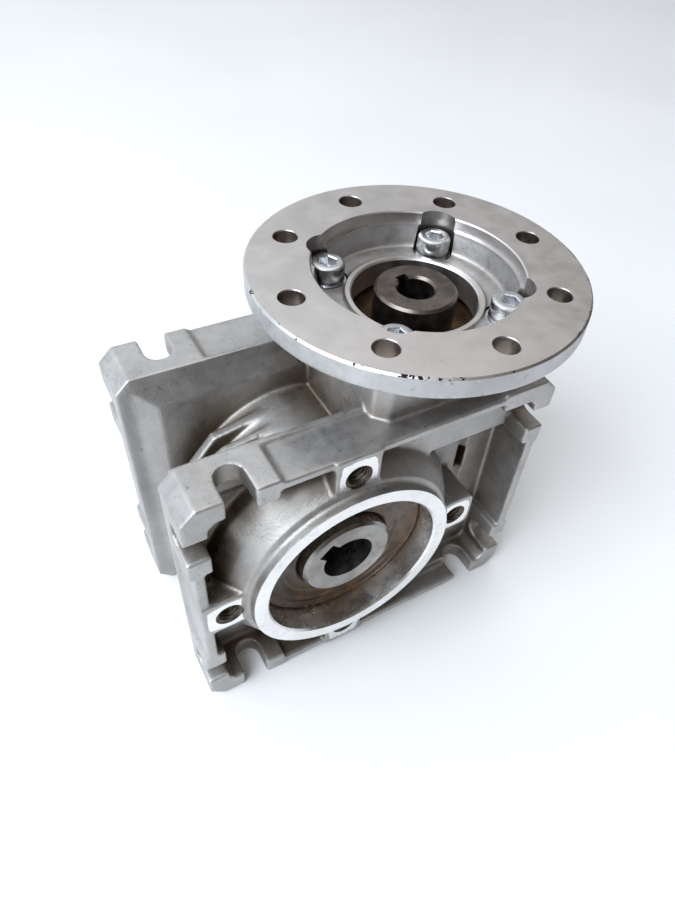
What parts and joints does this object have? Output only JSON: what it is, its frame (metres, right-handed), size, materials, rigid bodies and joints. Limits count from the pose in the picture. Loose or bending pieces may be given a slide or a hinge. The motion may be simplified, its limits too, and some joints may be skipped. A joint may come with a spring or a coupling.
{
  "type": "worm gearbox",
  "caption": "Right-angle worm gearbox: square cast housing with slotted foot frames, hollow keyed output shaft, round motor flange over a hollow worm.",
  "frame": {"origin": "centre of the hollow output shaft bore, on the middle plane of the housing", "axes": "+Y along the output shaft towards the side cover, +Z along the worm towards the motor flange, +X from the output axis to the worm axis"},
  "size_m": [0.11, 0.08, 0.102],
  "materials": {
    "cast_aluminium": "satin die cast",
    "zinc_steel": "zinc plated",
    "shaft_steel": "oiled dark steel",
    "bearing_steel": "ground",
    "ball_steel": "polished",
    "pressed_brass": "pressed",
    "bronze": "cut bronze",
    "rubber": "moulded"
  },
  "bodies": {
    "casing": {"housing": "cast_aluminium", "side_cover": "cast_aluminium", "cover_o_ring": "rubber", "cover_screws": "zinc_steel", "motor_flange": "cast_aluminium", "flange_screws": "zinc_steel", "flange_washers": "zinc_steel", "worm_front_outer_ring": "bearing_steel", "worm_rear_outer_ring": "bearing_steel", "worm_seal": "rubber", "worm_seal_spring": "bearing_steel", "front_circlip": "bearing_steel", "rear_circlip": "bearing_steel", "rear_cap": "rubber", "output_near_outer_ring": "bearing_steel", "output_far_outer_ring": "bearing_steel", "output_near_seal": "rubber", "output_far_seal": "rubber", "output_seal_springs": "bearing_steel"},
    "worm_shaft": {"worm": "shaft_steel", "worm_front_inner_ring": "bearing_steel", "worm_rear_inner_ring": "bearing_steel"},
    "output_wheel": {"output_hub": "shaft_steel", "wheel_rim": "bronze", "output_near_inner_ring": "bearing_steel", "output_far_inner_ring": "bearing_steel"},
    "worm_front_ball_set": {"worm_front_cage": "pressed_brass", "worm_front_balls": "ball_steel"},
    "worm_rear_ball_set": {"worm_rear_cage": "pressed_brass", "worm_rear_balls": "ball_steel"},
    "output_near_ball_set": {"output_near_cage": "pressed_brass", "output_near_balls": "ball_steel"},
    "output_far_ball_set": {"output_far_cage": "pressed_brass", "output_far_balls": "ball_steel"}
  },
  "joints": [
    {"name": "worm_spin", "type": "hinge", "parent": "casing", "child": "worm_shaft", "pos_m": [0.03, 0, 0], "axis": [0, 0, 1], "continuous": true},
    {"name": "output_spin", "type": "hinge", "parent": "casing", "child": "output_wheel", "pos_m": [0, 0, 0], "axis": [0, 1, 0], "continuous": true},
    {"name": "worm_front_ball_orbit", "type": "hinge", "parent": "casing", "child": "worm_front_ball_set", "pos_m": [0.03, 0, 0.0315], "axis": [0, 0, 1], "continuous": true},
    {"name": "worm_rear_ball_orbit", "type": "hinge", "parent": "casing", "child": "worm_rear_ball_set", "pos_m": [0.03, 0, -0.0299], "axis": [0, 0, 1], "continuous": true},
    {"name": "output_near_ball_orbit", "type": "hinge", "parent": "casing", "child": "output_near_ball_set", "pos_m": [0, -0.012, 0], "axis": [0, 1, 0], "continuous": true},
    {"name": "output_far_ball_orbit", "type": "hinge", "parent": "casing", "child": "output_far_ball_set", "pos_m": [0, 0.012, 0], "axis": [0, 1, 0], "continuous": true}
  ],
  "couplings": [
    {"joint": "output_spin", "follows": "worm_spin", "ratio": 0.033333},
    {"joint": "worm_front_ball_orbit", "follows": "worm_spin", "ratio": 0.41579},
    {"joint": "worm_rear_ball_orbit", "follows": "worm_spin", "ratio": 0.38},
    {"joint": "output_near_ball_orbit", "follows": "worm_spin", "ratio": 0.014279},
    {"joint": "output_far_ball_orbit", "follows": "worm_spin", "ratio": 0.014279}
  ]
}
